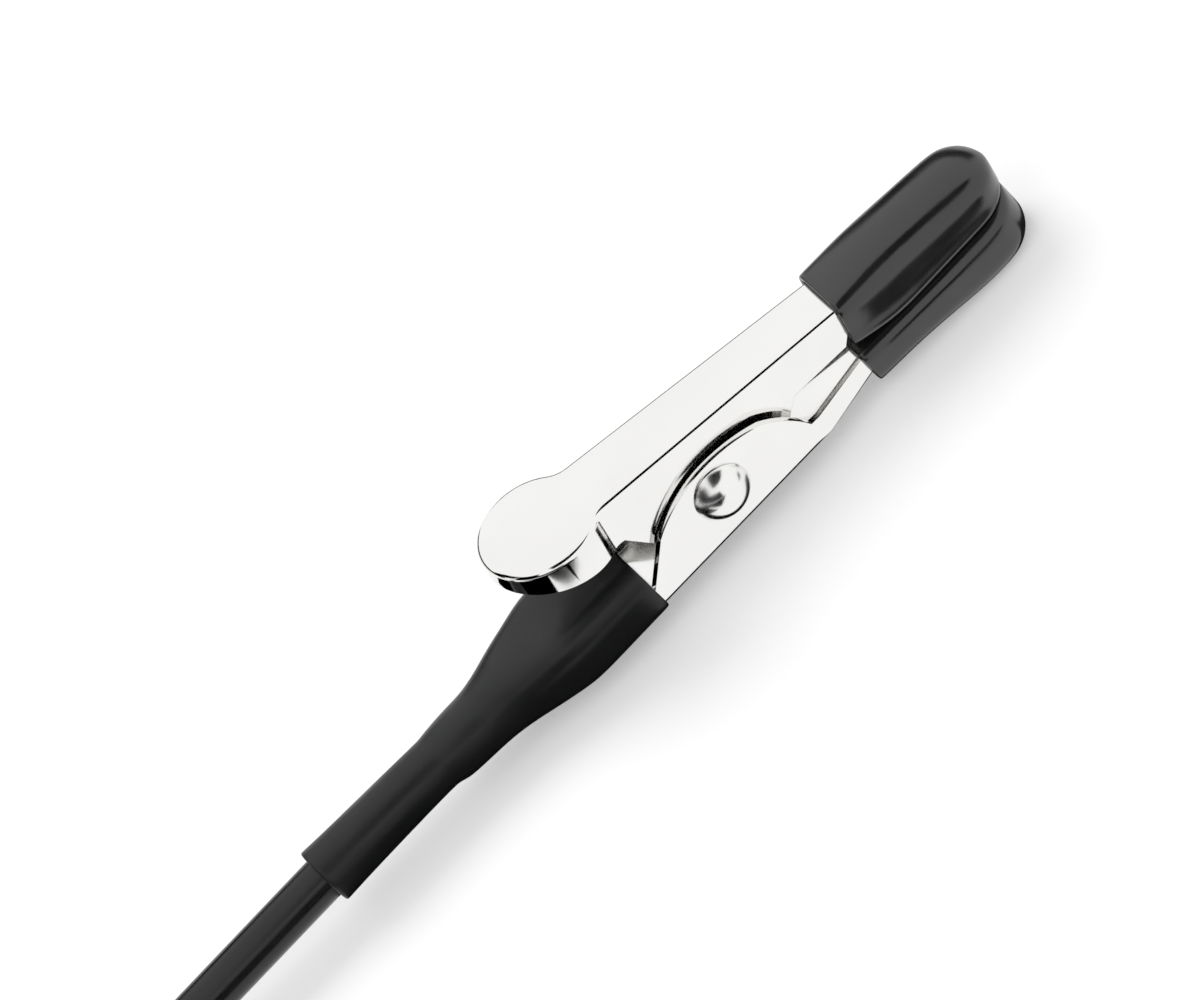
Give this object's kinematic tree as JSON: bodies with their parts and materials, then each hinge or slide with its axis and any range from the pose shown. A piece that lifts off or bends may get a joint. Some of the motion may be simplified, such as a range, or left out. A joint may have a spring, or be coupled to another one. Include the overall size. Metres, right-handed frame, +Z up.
{
  "type": "magnetic crocodile clip",
  "caption": "Sprung sheet-metal crocodile clip with soft tip sleeves on a bendable round arm, with a round magnetic foot at the arm's other end.",
  "frame": {"origin": "middle of the foot's magnetic face, on the surface that the part stands on", "axes": "+X along the part, from the foot to the jaw tips, +Z up, out of the surface, with the thumb pad on top"},
  "size_m": [0.2301, 0.018, 0.0153],
  "materials": {
    "nickel_plate": "bright nickel plating on pressed steel",
    "spring_wire": "drawn spring wire",
    "soft_vinyl": "soft satin vinyl",
    "heat_shrink": "satin heat-shrink",
    "tinned_copper": "tinned, crimped",
    "soft_wire": "annealed drawn wire",
    "black_sheath": "smooth, half gloss",
    "black_anodised": "turned, black anodised",
    "plated_pot": "satin nickel plating",
    "plated_magnet": "smooth plating",
    "steel_screw": "turned steel"
  },
  "bodies": {
    "clip_and_arm": {"lower_jaw": "nickel_plate", "pivot_rivet": "nickel_plate", "torsion_spring": "spring_wire", "lower_jaw_sleeve": "soft_vinyl", "shrink_tube": "heat_shrink", "arm_end_ferrule": "tinned_copper", "arm_core": "soft_wire", "arm_sheath": "black_sheath", "foot_cap": "black_anodised", "foot_cup": "plated_pot", "foot_magnet": "plated_magnet", "foot_screw": "steel_screw", "foot_grub_screw": "steel_screw"},
    "upper_jaw_and_sleeve": {"upper_jaw": "nickel_plate", "upper_jaw_sleeve": "soft_vinyl"}
  },
  "joints": [
    {"name": "jaw_hinge", "type": "hinge", "parent": "clip_and_arm", "child": "upper_jaw_and_sleeve", "pos_m": [0.1886, 0, 0.0063], "axis": [0, -1, 0], "range_deg": [0, 14.5], "stiffness_Nm_per_rad": 0.35, "springref_deg": -32.66, "deforming": ["torsion_spring"]}
  ]
}
